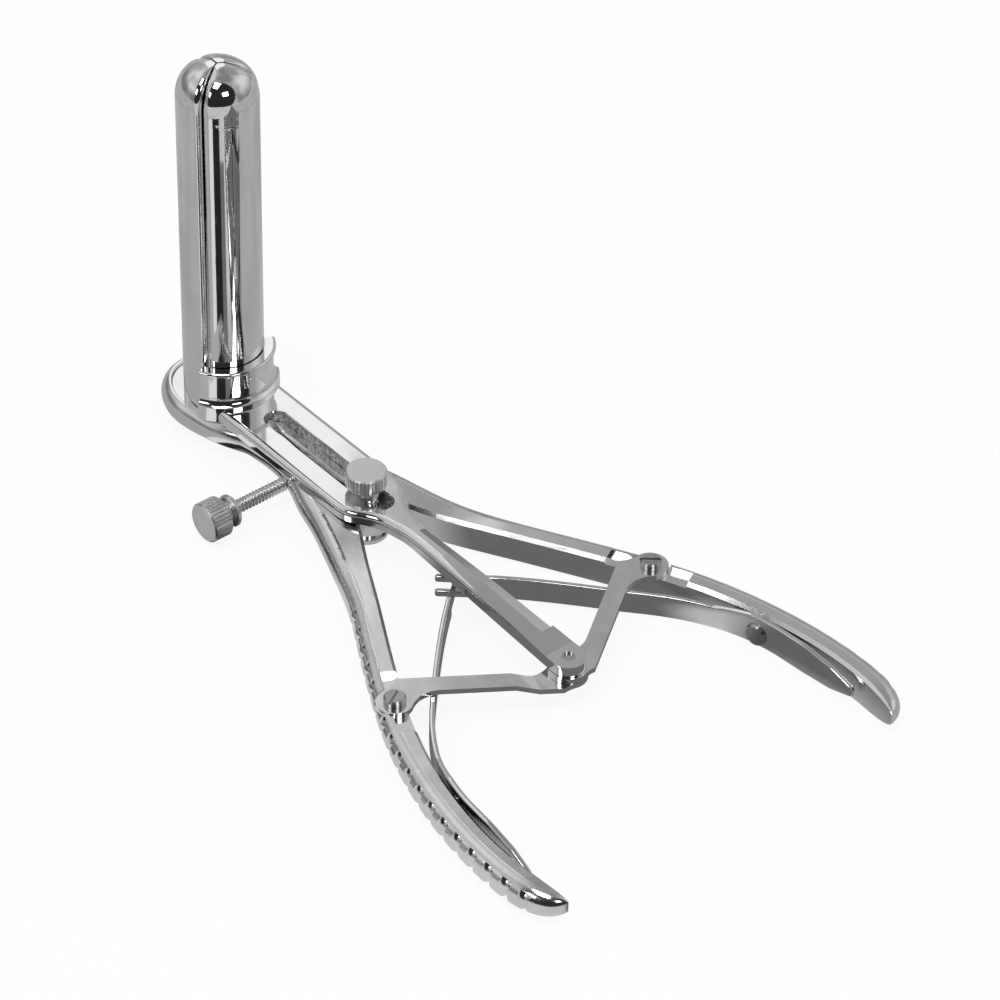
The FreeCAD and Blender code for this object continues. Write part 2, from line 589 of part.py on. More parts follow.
def third_of_tube(low):
    """One domed third of the closed tube, from level low, with its middle along +X."""
    outside, wall = size("prong_radius"), size("prong_wall")
    shoulder = PLATE_TOP + size("prong_length") - size("dome_height")
    wires = [prong_outline(outside, shoulder - 3.0), prong_outline(outside, shoulder - 1.5)]
    for t in (0.0, 0.2, 0.38, 0.54, 0.68, 0.8, 0.89, 0.95, 0.985):
        radius, height = crown(outside, size("dome_height"), t)
        wires.append(prong_outline(radius, shoulder + height))
    head = Part.makeLoft(wires, True, False)
    stem = Part.Face(prong_outline(outside, low)).extrude(vec(0, 0, shoulder - 3.0 - low))
    bore = outside - wall
    points = []
    for i in range(9):
        radius, height = crown(bore, size("dome_height") - wall, math.sin(math.pi * i / 16))
        points.append(vec(radius, 0, shoulder + height))
    arch = Part.BSplineCurve()
    arch.interpolate(points, InitialTangent=vec(0, 0, 1), FinalTangent=vec(-1, 0, 0))
    top = points[-1]
    hollow = Part.Face(Part.Wire([
        Part.LineSegment(vec(0, 0, low - 1.0), vec(bore, 0, low - 1.0)).toShape(),
        Part.LineSegment(vec(bore, 0, low - 1.0), points[0]).toShape(),
        arch.toShape(),
        Part.LineSegment(top, vec(0, 0, low - 1.0)).toShape()]))
    return stem.fuse(head).cut(hollow.revolve(vec(0, 0), UP, 360))


def side_prong():
    """Right prong with its foot, which fills half of the ring."""
    shell = third_of_tube(size("foot_under"))
    shell.rotate(vec(0, 0), UP, 120)
    a = size("ring_half_length") - size("foot_gap")
    b = size("ring_half_width") - size("foot_gap")
    low, high = size("foot_under"), size("foot_under") + size("foot_height")
    plug = cylinder(1.0, high - low, vec(0, 0, low))
    stretch = FreeCAD.Matrix()
    stretch.scale(a, b, 1.0)
    plug = plug.transformGeometry(stretch)
    plug.translate(vec(-size("ring_lead"), size("arm_parting") / 2, 0))
    radius, flare = size("prong_radius"), size("foot_flare")
    skirt = Part.Face(Part.Wire([
        Part.LineSegment(vec(radius - 0.5, 0, high), vec(radius + flare, 0, high)).toShape(),
        Part.Arc(vec(radius + flare, 0, high), vec(radius + 0.29 * flare, 0, high + 0.29 * flare),
                 vec(radius, 0, high + flare)).toShape(),
        Part.LineSegment(vec(radius, 0, high + flare), vec(radius - 0.5, 0, high + flare)).toShape(),
        Part.LineSegment(vec(radius - 0.5, 0, high + flare), vec(radius - 0.5, 0, high)).toShape()]))
    spread = size("socket_half_angle") + 2.0
    skirt.rotate(vec(0, 0), UP, spread)
    skirt = skirt.revolve(vec(0, 0), UP, 180 - spread)
    collar = cylinder(1.0, 3 * flare, vec(0, 0, low)).transformGeometry(stretch)
    collar.translate(vec(-size("ring_lead"), size("arm_parting") / 2, high - low))
    foot = plug.fuse(skirt.common(collar)).fuse(shell)
    bore = size("prong_radius") - size("prong_wall")
    foot = foot.cut(cylinder(bore, high - low + 2.0, vec(0, 0, low - 1.0)))
    parting = block(-40, 40, -40, size("arm_parting") / 2, low - 1.0, high + 20.0)
    foot = foot.cut(parting)
    behind = block(size("ring_half_length") - size("ring_lead") - 5.2, 40, -40, 40, low - 1.0, high + 0.5)
    return foot.cut(behind).removeSplitter()


prong_place = FreeCAD.Placement(vec(PRONG_X, 0), FreeCAD.Rotation())
right_prong = side_prong()
shaped("right_prong", right_prong, prong_place)
shaped("left_prong", right_prong.mirror(vec(0, 0), vec(0, 1, 0)), prong_place)
shaped("centre_prong", third_of_tube(PLATE_TOP), prong_place)


# Socket that holds the centre prong on the slide: wall, beaded rim and base flange
def socket():
    inner = size("prong_radius") + size("socket_gap")
    outer = inner + size("socket_wall")
    low, rim = PLATE_TOP, PLATE_TOP + size("socket_height")
    bead = size("socket_bead")
    flange, step = size("socket_flange"), size("socket_flange_height")
    face = Part.Face(Part.Wire([
        Part.LineSegment(vec(inner, 0, low), vec(flange, 0, low)).toShape(),
        Part.LineSegment(vec(flange, 0, low), vec(flange, 0, low + 0.5 * step)).toShape(),
        Part.Arc(vec(flange, 0, low + 0.5 * step), vec(outer + 0.35 * (flange - outer), 0, low + step),
                 vec(outer, 0, low + 2.0 * step)).toShape(),
        Part.LineSegment(vec(outer, 0, low + 2.0 * step), vec(outer, 0, rim - 2 * bead)).toShape(),
        Part.Arc(vec(outer, 0, rim - 2 * bead), vec(outer + bead, 0, rim - bead), vec(outer, 0, rim)).toShape(),
        Part.LineSegment(vec(outer, 0, rim), vec(inner, 0, rim)).toShape(),
        Part.LineSegment(vec(inner, 0, rim), vec(inner, 0, low)).toShape()]))
    half = size("socket_half_angle")
    ring = face.revolve(vec(0, 0), UP, 2 * half)
    ring.rotate(vec(0, 0), UP, -half)
    return ring


shaped("prong_socket", socket(), prong_place)


# Slide: slotted plate that narrows to a bar with a rounded, drilled end
BAR_STATIONS = [size("bar_level") + (size("rivet_offset") - 3.0 - size("bar_level")) * i / 6 for i in range(7)]


def bar_top(x):
    """Level of the bar's top, which falls in a shallow curve to the rivet."""
    span = BAR_STATIONS[-1] - BAR_STATIONS[0]
    share = min(max((x - BAR_STATIONS[0]) / span, 0.0), 1.0)
    return PLATE_TOP - size("bar_drop") * share**1.35


def slide():
    front = PRONG_X + size("prong_radius")
    half, neck = size("plate_half_width"), size("bar_neck_half")
    end, rear = size("rivet_offset"), size("slot_rear")
    slope = (size("bar_end_radius") - neck) / (end - rear - 13.0)
    hip = rear + size("slot_rim") - half
    edge = [vec(front, half), vec(hip - 6.0, half), vec(hip + 2.0, half - 0.9),
            vec(rear, neck + 2.3), vec(rear + 6.0, neck + 0.5), vec(rear + 13.0, neck)]
    side = Part.BSplineCurve()
    side.interpolate(edge[1:], InitialTangent=vec(1, 0), FinalTangent=vec(1, slope))
    flip = FreeCAD.Matrix()
    flip.scale(1, -1, 1)
    straight = Part.LineSegment(edge[0], edge[1]).toShape()
    taper = Part.LineSegment(edge[-1], vec(end, size("bar_end_radius"))).toShape()
    cap = Part.Arc(vec(end, size("bar_end_radius")), vec(end + size("bar_end_radius"), 0),
                   vec(end, -size("bar_end_radius"))).toShape()
    upper = [straight, side.toShape(), taper]
    lower = [e.transformGeometry(flip) for e in upper]
    nose = Part.LineSegment(vec(front, -half), vec(front, half)).toShape()
    outline = Part.Wire(Part.__sortEdges__(upper + [cap] + lower + [nose]))
    tall = PLATE_TOP - BAR_END_UNDER
    plate = Part.Face(outline).extrude(vec(0, 0, tall))
    plate.translate(vec(0, 0, BAR_END_UNDER))
    rims = [e for e in plate.Edges if e.BoundBox.ZMin > PLATE_TOP - 0.01 and e.BoundBox.XMax > front + 0.1]
    plate = plate.makeFillet(size("plate_round"), rims)
    pad = cylinder(size("socket_flange"), size("plate_thickness"), vec(PRONG_X, 0, PLATE_UNDER))
    pad = pad.cut(block(PRONG_X - 40, PRONG_X + 40, -40, 40, 0, PLATE_UNDER))
    spread = size("socket_half_angle")
    for sign in (1, -1):
        keep_out = block(-40, 40, 0, 40, PLATE_UNDER - 1, PLATE_TOP + 1)
        if sign < 0:
            keep_out = block(-40, 40, -40, 0, PLATE_UNDER - 1, PLATE_TOP + 1)
        keep_out.rotate(vec(0, 0), UP, sign * spread)
        keep_out.translate(vec(PRONG_X, 0))
        pad = pad.cut(keep_out)
    plate = plate.fuse(pad)
    crest = Part.BSplineCurve()
    crest.interpolate([vec(x, 0, bar_top(x)) for x in BAR_STATIONS], InitialTangent=vec(1, 0, 0))
    low_line = [vec(end + 10.0, 0, bar_top(end)), vec(end + 10.0, 0, BAR_END_UNDER), vec(end - 4.0, 0, BAR_END_UNDER),
                vec(rear + 5.0, 0, PLATE_UNDER), vec(PRONG_X - 5, 0, PLATE_UNDER), vec(PRONG_X - 5, 0, PLATE_TOP),
                vec(BAR_STATIONS[0], 0, PLATE_TOP)]
    chain = [Part.LineSegment(p, q).toShape() for p, q in zip(low_line, low_line[1:])]
    outer = Part.LineSegment(vec(BAR_STATIONS[-1], 0, bar_top(BAR_STATIONS[-1])), low_line[0]).toShape()
    profile = Part.Wire([crest.toShape(), outer] + chain)
    side_view = Part.Face(profile).extrude(vec(0, 60, 0))
    side_view.translate(vec(0, -30, 0))
    plate = plate.common(side_view)
    tube = size("prong_radius") - size("prong_wall")
    plate = plate.cut(cylinder(tube, 20.0, vec(PRONG_X, 0, 0)))
    for sign in (1, -1):
        seam = block(-1.0, size("prong_radius") + size("socket_gap"), -size("seam_gap") / 2, 20, 0, 30)
        if sign < 0:
            seam = block(-1.0, size("prong_radius") + size("socket_gap"), -20, size("seam_gap") / 2, 0, 30)
        seam.rotate(vec(0, 0), UP, 60 * sign)
        sleeve = cylinder(size("prong_radius") + size("socket_gap"), 30, vec(0, 0, 0))
        wedge = seam.common(sleeve)
        wedge.translate(vec(PRONG_X, 0))
        plate = plate.cut(wedge)
    slot_half = size("slot_width") / 2
    front_end, rear_end = -size("slot_front") + slot_half, rear - slot_half
    slot = block(front_end, rear_end, -slot_half, slot_half, 0, 30)
    slot = slot.fuse(cylinder(slot_half, 30, vec(front_end, 0))).fuse(cylinder(slot_half, 30, vec(rear_end, 0)))
    plate = plate.cut(slot)
    drop, ridge = size("bar_bevel"), 0.25
    cuts = []
    for x in [rear + 10.0] + BAR_STATIONS[:-1]:
        wide, z = neck + slope * max(x - rear - 13.0, 0.0) - 0.1, bar_top(x) + 0.03
        fall = drop * (wide + 1.0 - ridge) / (wide - ridge)
        cuts.append(Part.makePolygon([vec(x, ridge, z), vec(x, wide + 1.0, z - fall), vec(x, wide + 1.0, z + 3.0),
                                      vec(x, ridge, z + 3.0), vec(x, ridge, z)]))
    bevel = Part.makeLoft(cuts, True, True)
    plate = plate.cut(bevel)
    hole = cylinder(size("rivet_radius"), 20.0, vec(end, 0, 0))
    return plate.cut(hole).removeSplitter()


shaped("slide_bar", slide())


# Links: thin straps with an eye at each end, the bar skewed so that it clears the handle
LINK_LENGTH = math.hypot(size("rivet_offset") - LINK_X, LINK_Y)
LINK_COURSE = math.degrees(math.atan2(-LINK_Y, size("rivet_offset") - LINK_X))


def link_outline(skew):
    """Face of the link in its own frame: handle eye at the origin, rivet eye along +X."""
    half = size("link_width") / 2
    reach = LINK_LENGTH / 2 - 1.5
    bar = Part.makePolygon([vec(-reach, -half), vec(reach, -half), vec(reach, half),
                            vec(-reach, half), vec(-reach, -half)])
    bar.rotate(vec(0, 0), UP, skew)
    bar.translate(vec(LINK_LENGTH / 2, -size("link_shift")))
    eye = Part.Face(Part.Wire(Part.makeCircle(size("link_eye_radius"), vec(0, 0))))
    end = Part.Face(Part.Wire(Part.makeCircle(size("link_end_radius"), vec(LINK_LENGTH, 0))))
    face = Part.Face(bar).fuse([eye, end]).removeSplitter()
    wire = Part.Wire(Part.__sortEdges__(face.Faces[0].OuterWire.Edges))
    hollow = size("link_fillet")
    return Part.Face(wire.makeOffset2D(hollow).makeOffset2D(-hollow))


def link(cranked):
    """The right link, or the left one before it is mirrored, with its rivet eye stepped down."""
    strap = link_outline(size("link_skew"))
    thick = size("link_thickness")
    flat = strap.extrude(vec(0, 0, thick))
    if cranked:
        step = LINK_UNDER - LOW_LINK_UNDER
        bend, foot = LINK_LENGTH - 12.5, LINK_LENGTH - 7.5
        tall = strap.extrude(vec(0, 0, thick + step))
        tall.translate(vec(0, 0, -step))
        side = Part.makePolygon([
            vec(-10, 0, 0), vec(bend, 0, 0), vec(foot, 0, -step), vec(LINK_LENGTH + 10, 0, -step),
            vec(LINK_LENGTH + 10, 0, thick - step), vec(foot, 0, thick - step), vec(bend, 0, thick),
            vec(-10, 0, thick), vec(-10, 0, 0)])
        view = Part.Face(side).extrude(vec(0, 40, 0))
        view.translate(vec(0, -20, 0))
        flat = tall.common(view)
    for radius, x in ((size("pivot_screw_radius"), 0.0), (size("rivet_radius"), LINK_LENGTH)):
        flat = flat.cut(cylinder(radius + size("thread_gap"), 20.0, vec(x, 0, -10.0)))
    flat.rotate(vec(0, 0), UP, LINK_COURSE)
    flat.translate(vec(LINK_X, LINK_Y, LINK_UNDER))
    return flat


shaped("right_link", link(False))
shaped("left_link", link(True).mirror(vec(0, 0), vec(0, 1, 0)))


# Slotted screws that carry the links, and the rear rivet
def slotted(profile, radius, top, direction):
    """Turned screw with a screwdriver slot across its head."""
    solid = Part.Face(Part.makePolygon(profile + profile[:1])).revolve(vec(0, 0), UP, 360)
    wide, deep = size("driver_slot"), size("driver_depth")
    cut = block(-radius - 1, radius + 1, -wide / 2, wide / 2, top - deep, top + 1)
    cut.rotate(vec(0, 0), UP, direction)
    return solid.cut(cut)


def link_screw(direction):
    bear, head = size("pivot_screw_radius"), size("pivot_screw_head")
    thread, long = size("pivot_screw_thread"), size("pivot_screw_length")
    under = size("link_gap") + size("link_thickness") + size("link_gap")
    top = under + size("pivot_screw_height")
    return slotted([vec(0, 0, -long), vec(thread, 0, -long), vec(thread, 0, 0), vec(bear, 0, 0),
                    vec(bear, 0, under), vec(head, 0, under), vec(head, 0, top - 0.35),
                    vec(head - 0.35, 0, top), vec(0, 0, top)], head, top, direction)


for name, sign, direction in (("right_link_screw", 1, 50.0), ("left_link_screw", -1, 118.0)):
    place = FreeCAD.Placement(vec(LINK_X, sign * LINK_Y, RECESS_FLOOR), FreeCAD.Rotation())
    shaped(name, link_screw(direction), place)

rivet_top = cylinder(size("rivet_radius") - 0.01, BAR_END_TOP - 0.5 - BAR_END_UNDER,
                     vec(size("rivet_offset"), 0, BAR_END_UNDER))
shaped("link_rivet", rivet_top)
tail_low = LOW_LINK_UNDER - size("link_gap") - size("rivet_head_height")
tail = cylinder(size("rivet_head_radius"), size("rivet_head_height"), vec(size("rivet_offset"), 0, tail_low))
tail_pin = cylinder(size("rivet_radius"), LOW_LINK_TOP - tail_low, vec(size("rivet_offset"), 0, tail_low))
shaped("rivet_tail", tail.fuse(tail_pin).removeSplitter())


# Leaf springs: bent flat springs screwed to the handles, tongue and fork where they cross
def spring_line():
    """Middle line of the spring: along the handle, then in a shallow bow past the crossing."""
    inset = size("spring_gap") + size("spring_thickness") / 2
    tail, leave = size("spring_tail"), size("spring_leave")
    points = [along_handle(tail + (leave - tail) * i / 4, -inset, 0) for i in range(5)]
    meet, start = vec(size("spring_meet"), 0), points[-1]
    run = (meet - start).normalize()
    side = vec(run.y, -run.x)
    reach = (meet - start).Length
    for share in (0.14, 0.3, 0.5, 0.75, 1.0):
        bow = size("spring_bow") * 4 * share * (1 - share)
        points.append(start + run * (reach * share) + side * bow)
    points.append(meet + (meet - points[-2]).normalize() * 6.0)
    curve = Part.BSplineCurve()
    curve.interpolate(points)
    return curve


def spring_edge(line, offset):
    """Curve beside the middle line at a signed distance."""
    points = []
    for i in range(17):
        t = line.FirstParameter + (line.LastParameter - line.FirstParameter) * i / 16
        along = line.tangent(t)[0]
        points.append(line.value(t) + vec(along.y, -along.x) * offset)
    curve = Part.BSplineCurve()
    curve.interpolate(points)
    return curve


def spring():
    line = spring_line()
    half = size("spring_thickness") / 2
    near, far = spring_edge(line, half), spring_edge(line, -half)
    ends = [Part.LineSegment(near.value(near.LastParameter), far.value(far.LastParameter)).toShape(),
            Part.LineSegment(far.value(far.FirstParameter), near.value(near.FirstParameter)).toShape()]
    wire = Part.Wire(Part.__sortEdges__([near.toShape(), far.toShape()] + ends))
    solid = Part.Face(wire).extrude(vec(0, 0, 25))
    low, high = size("spring_under"), size("spring_under") + size("spring_height")
    root, rise = low + size("spring_root"), size("spring_rise")
    tail, leave, meet = size("spring_tail"), size("spring_leave"), size("spring_meet")
    side = Part.makePolygon([
        vec(meet - 15, 0, low + rise), vec(meet + 6, 0, low + rise), vec(leave - 22, 0, low), vec(tail - 10, 0, low),
        vec(tail + 1, 0, SPRING_MIDDLE - 0.6), vec(tail + 1, 0, SPRING_MIDDLE + 0.6), vec(tail - 9, 0, root),
        vec(leave + 2, 0, root), vec(leave - 6, 0, high), vec(leave - 22, 0, high), vec(meet + 6, 0, high + rise),
        vec(meet - 15, 0, high + rise), vec(meet - 15, 0, low + rise)])
    view = Part.Face(side).extrude(vec(0, 120, 0))
    view.translate(vec(0, -20, 0))
    solid = solid.common(view)
    seat, course = inner_face(size("spring_screw_at"))
    turn = math.radians(course)
    out = vec(-math.sin(turn), math.cos(turn))
    start = vec(seat[0], seat[1], SPRING_MIDDLE) - out * 4
    return solid.cut(cylinder(size("spring_screw_thread") + size("thread_gap"), 8.0, start, out))


def crossing_box(past, depth, low, high):
    """Box round the end of the spring: from past the crossing back along the spring."""
    line = spring_line()
    run = line.tangent(line.parameter(vec(size("spring_meet"), 0)))[0] * -1
    box = Part.makeBox(depth, 10.0, high - low, vec(-past, -5.0, low))
    box.rotate(vec(0, 0), UP, math.degrees(math.atan2(run.y, run.x)))
    box.translate(vec(size("spring_meet"), 0))
    return box


beyond = 30.0
CROSS_MIDDLE = SPRING_MIDDLE + size("spring_rise")
fork = spring().cut(crossing_box(size("fork_overlap") + beyond, beyond, -1, 20))
fork_half, tongue_half = size("fork_gap") / 2, size("tongue_height") / 2
fork = fork.cut(crossing_box(size("fork_overlap") + 1, size("fork_depth") + 1,
                             CROSS_MIDDLE - fork_half, CROSS_MIDDLE + fork_half))
shaped("right_spring", fork.removeSplitter())
tongue = spring().cut(crossing_box(size("tongue_overlap") + beyond, beyond, -1, 20))
for low, high in ((-1, CROSS_MIDDLE - tongue_half), (CROSS_MIDDLE + tongue_half, 20)):
    tongue = tongue.cut(crossing_box(size("tongue_overlap") + 1, size("tongue_length") + 1, low, high))
shaped("left_spring", tongue.removeSplitter().mirror(vec(0, 0), vec(0, 1, 0)))


def spring_screw(sign, direction):
    head, thread = size("spring_screw_head"), size("spring_screw_thread")
    under = size("spring_thickness") + size("spring_gap") + 0.15
    top = under + size("spring_screw_height")
    long = size("spring_screw_length")
    screw = slotted([vec(0, 0, -long), vec(thread, 0, -long), vec(thread, 0, under), vec(head, 0, under),
                     vec(head, 0, top - 0.4), vec(head - 0.4, 0, top), vec(0, 0, top)], head, top, direction)
    seat, course = inner_face(size("spring_screw_at"))
    turn = math.radians(course)
    axis = vec(math.sin(turn), -sign * math.cos(turn))
    spin = FreeCAD.Rotation(UP, axis)
    return screw, FreeCAD.Placement(vec(seat[0], sign * seat[1], SPRING_MIDDLE), spin)


for name, sign in (("right_spring_screw", 1), ("left_spring_screw", -1)):
    screw, place = spring_screw(sign, 70.0)
    shaped(name, screw, place)

# Every sub-part is checked, then written
DOC.recompute()
for obj in DOC.Objects:
    faults = [state for state in obj.State if state in ("Invalid", "Error")]
    if faults:
        raise RuntimeError("%s is %s" % (obj.Label, faults))
for obj in PARTS:
    shape = obj.Shape
    if shape.isNull() or not shape.isValid():
        raise RuntimeError("%s has no valid shape" % obj.Label)
os.makedirs("parts", exist_ok=True)
for obj in PARTS:
    solids = obj.Shape.Solids
    obj.Shape.exportStep("parts/%s.step" % obj.Label)
    box = obj.Shape.optimalBoundingBox(True, False)
    print("%-20s solids %d volume %8.1f  x %.1f..%.1f y %.1f..%.1f z %.1f..%.1f" % (
        obj.Label, len(solids), obj.Shape.Volume, box.XMin, box.XMax, box.YMin, box.YMax, box.ZMin, box.ZMax))
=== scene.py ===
import math

import bpy
import numpy as np
from mathutils import Matrix, Vector


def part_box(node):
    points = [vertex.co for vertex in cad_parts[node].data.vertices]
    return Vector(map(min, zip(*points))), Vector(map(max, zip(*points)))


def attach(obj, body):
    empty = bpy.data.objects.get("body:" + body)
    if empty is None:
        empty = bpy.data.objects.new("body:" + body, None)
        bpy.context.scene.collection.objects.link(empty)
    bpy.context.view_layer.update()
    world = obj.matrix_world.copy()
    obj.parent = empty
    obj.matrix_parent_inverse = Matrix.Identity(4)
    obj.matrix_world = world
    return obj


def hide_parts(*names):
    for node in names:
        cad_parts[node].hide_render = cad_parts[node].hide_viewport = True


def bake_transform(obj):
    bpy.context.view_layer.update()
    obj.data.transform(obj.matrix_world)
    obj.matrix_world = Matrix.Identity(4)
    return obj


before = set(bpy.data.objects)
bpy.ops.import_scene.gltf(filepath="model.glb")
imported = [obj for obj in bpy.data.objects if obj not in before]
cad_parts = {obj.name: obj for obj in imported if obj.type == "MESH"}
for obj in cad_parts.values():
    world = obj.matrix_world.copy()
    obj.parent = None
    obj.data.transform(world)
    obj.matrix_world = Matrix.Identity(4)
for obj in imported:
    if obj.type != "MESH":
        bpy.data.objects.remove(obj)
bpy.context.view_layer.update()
MM = 0.001

# Prongs: three thirds of a steel tube, closed in a dome at the top. They are chromed and
# buffed to a mirror. Two are brazed into the levers' rings, one into the slide's collar.


class Value:
    """One shader value. The operators add Math nodes to its tree and give a new value."""

    def __init__(self, tree, socket):
        self.tree, self.socket = tree, socket

    def math(self, operation, other=None, first=False):
        """One Math node on this value and perhaps another; first puts the other one first."""
        made = self.tree.nodes.new("ShaderNodeMath")
        made.operation = operation
        terms = [self] if other is None else [other, self] if first else [self, other]
        for place, term in zip(made.inputs, terms):
            if isinstance(term, Value):
                self.tree.links.new(term.socket, place)
            else:
                place.default_value = term
        return Value(self.tree, made.outputs[0])

    def __add__(self, other):
        return self.math("ADD", other)

    __radd__ = __add__

    def __mul__(self, other):
        return self.math("MULTIPLY", other)

    __rmul__ = __mul__

    def __sub__(self, other):
        return self.math("SUBTRACT", other)

    def __rsub__(self, other):
        return self.math("SUBTRACT", other, first=True)

    def between(self, low, high):
        """0 at low, 1 at high and a straight change between, held outside them."""
        rise = (self - low) * (1.0 / (high - low))
        return rise.math("MAXIMUM", 0.0).math("MINIMUM", 1.0)


class Shading:
    """A node tree being filled: node() adds any node, and put() gives a socket its input."""

    def __init__(self, tree):
        self.tree = tree

    def put(self, place, value):
        """Links a Value or a node's output to a socket, or sets the socket's own number."""
        if isinstance(value, Value):
            value = value.socket
        if isinstance(value, bpy.types.NodeSocket):
            self.tree.links.new(value, place)
        else:
            place.default_value = value

    def node(self, kind, settings=(), inputs=(), **sockets):
        """A node of a type: its settings first, then its inputs by place or by name."""
        made = self.tree.nodes.new(kind)
        for name, value in dict(settings).items():
            setattr(made, name, value)
        for place, value in dict(inputs).items():
            self.put(made.inputs[place], value)
        for name, value in sockets.items():
            self.put(made.inputs[name.replace("_", " ")], value)
        return made


class Finish(Shading):
    """A material being made; its shader is a Principled BSDF, with its constants set."""

    def __init__(self, name, **constants):
        self.material = bpy.data.materials.new(name)
        self.material.use_nodes = True
        super().__init__(self.material.node_tree)
        self.shader = self.tree.nodes["Principled BSDF"]
        for socket, value in constants.items():
            self.put(self.shader.inputs[socket.replace("_", " ")], value)
        self.place = self.node("ShaderNodeTexCoord").outputs["Object"]

    def position(self):
        """The point's x, y and z on the object, in metres."""
        parts = self.node("ShaderNodeSeparateXYZ", Vector=self.place)
        return [Value(self.tree, parts.outputs[i]) for i in range(3)]

    def noise(self, scale, detail=2.0, stretch=(1, 1, 1), turn=(0, 0, 0)):
        """Noise of so many features to a metre, squeezed along the axes by stretch."""
        mapped = self.node("ShaderNodeMapping", Vector=self.place, Scale=stretch, Rotation=turn)
        cloud = self.node("ShaderNodeTexNoise", {"noise_dimensions": "3D"},
                          Vector=mapped.outputs[0], Scale=scale, Detail=detail)
        return Value(self.tree, cloud.outputs[0])

    def relief(self, height, distance):
        """Bump from a height of 0 to 1 that stands for so many metres."""
        bump = self.node("ShaderNodeBump", Height=height, Distance=distance)
        self.put(self.shader.inputs["Normal"], bump.outputs[0])

    def gloss(self, roughness):
        """Roughness that changes over the surface."""
        self.put(self.shader.inputs["Roughness"], roughness)

    def tint(self, mask, dark, light):
        """Base colour from dark where the mask is 0 to light where it is 1."""
        mix = self.node("ShaderNodeMix", {"data_type": "RGBA"},
                        {0: mask, 6: (*dark, 1), 7: (*light, 1)})
        self.put(self.shader.inputs["Base Color"], mix.outputs[2])


WAVES, CLOUDS, HAIRLINES, HAIR_SQUEEZE = 90, 160, 420, (12, 1, 1)
HAIR_DEPTH, CLOUD_HAZE, HAIR_HAZE = 0.012, 0.06, 0.08


def polished(name, haze, depth, dark, light, waves=WAVES, hair_turn=(0.3, 0.2, 0.6)):
    """Buffed steel: slow waves left by the mop, cloudy haze and hairline scratches."""
    steel = Finish(name, Metallic=1.0)
    slow = steel.noise(waves, 1.0)
    hair = steel.noise(HAIRLINES, 3.0, stretch=HAIR_SQUEEZE, turn=hair_turn)
    cloud = steel.noise(CLOUDS, 4.0)
    steel.relief(slow + hair.between(0.55, 0.75) * HAIR_DEPTH, depth)
    steel.gloss(haze + cloud.between(0.4, 0.75) * CLOUD_HAZE + hair.between(0.6, 0.72) * HAIR_HAZE)
    steel.tint(cloud.between(0.3, 0.7), dark, light)
    return steel.material


def dress(material, *names):
    """Gives CAD nodes one material over all their faces."""
    for name in names:
        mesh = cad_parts[name].data
        mesh.materials.clear()
        mesh.materials.append(material)


prong_chrome = polished("prong_chrome", 0.028, 0.025 * MM, (0.78, 0.78, 0.79), (0.84, 0.84, 0.85),
                        waves=60, hair_turn=(0, 1.45, 0))
dress(prong_chrome, "right_prong", "left_prong", "centre_prong")

# Slide and collar: a steel plate with a long slot, and a turned half collar brazed on its
# front end. Both are buffed bright, but the slot's walls keep their rough cast skin.

SLOT_FRONT, SLOT_REAR, SLOT_HALF = -35 * MM, 8.2 * MM, 3.02 * MM
SLOT_MARGIN = 0.35 * MM
SKIN_START, SKIN_FULL = 0.5 * MM, 0.8 * MM
SKIN_GRAINS, SKIN_DEPTH, SKIN_ROUGH = 1500, 0.25 * MM, 0.33
SLIDE_HAZE, SLIDE_CLOUD, SLIDE_WAVE = 0.05, 0.05, 0.2

slide_steel = Finish("slide_steel", Metallic=1.0)
x, y, z = slide_steel.position()
middle, reach = (SLOT_FRONT + SLOT_REAR) / 2, (SLOT_REAR - SLOT_FRONT) / 2 - SLOT_HALF
past = ((x - middle).math("ABSOLUTE") - reach).math("MAXIMUM", 0.0)
distance = (past * past + y * y).math("SQRT")
in_slot = distance.between(SLOT_HALF + SLOT_MARGIN, SLOT_HALF + SLOT_MARGIN / 2)
plate_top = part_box("slide_bar")[1][2]
cast = in_slot * z.between(plate_top - SKIN_START, plate_top - SKIN_FULL)
grains = slide_steel.noise(SKIN_GRAINS, 4.0)
cloud = slide_steel.noise(CLOUDS, 4.0)
slow = slide_steel.noise(WAVES, 1.0)
slide_steel.relief(slow * SLIDE_WAVE + cast * grains, SKIN_DEPTH)
slide_steel.gloss(SLIDE_HAZE + cloud.between(0.4, 0.75) * SLIDE_CLOUD + cast * SKIN_ROUGH)
slide_steel.tint(cast * grains.between(0.35, 0.65), (0.84, 0.84, 0.85), (0.22, 0.22, 0.23))
dress(slide_steel.material, "slide_bar")

collar_steel = polished("collar_steel", 0.04, 0.03 * MM, (0.80, 0.80, 0.81), (0.86, 0.86, 0.87))
dress(collar_steel, "prong_socket")

# Levers: two steel forgings with a ring at the front and a ribbed grip behind. They are
# ground along their length and buffed by hand, so they are hazier than the slide.

lever_steel = polished("lever_steel", 0.13, 0.22 * MM, (0.76, 0.76, 0.77), (0.84, 0.84, 0.85),
                       waves=45, hair_turn=(0, 0, 1.2))
dress(lever_steel, "right_arm", "left_arm")

# Pivot post and nut: turned steel. The post is the bearing of both levers and the guide in
# the slot; the nut holds it from below.

turned_steel = polished("turned_steel", 0.1, 0.02 * MM, (0.66, 0.66, 0.67), (0.78, 0.78, 0.79))
dress(turned_steel, "pivot_post", "pivot_nut")

# Thumb screw: a straight-knurled head turned from bar, left satin, on a threaded rod that
# goes down into the post and locks the slide.

PITCH_THUMB = 0.7 * MM
THREAD_STEPS, THREAD_SIDES, THREAD_DEPTH = 10, 36, 0.54
FLANK_RISE, ROOT_FLAT = 1.3, 0.15
CHAMFER_DEPTH, CHAMFER_LENGTH = 0.4, 0.6
GRAIN, SMUDGES, GRAIN_DEPTH, SMUDGE_HAZE = 3500, 350, 0.012 * MM, 0.14


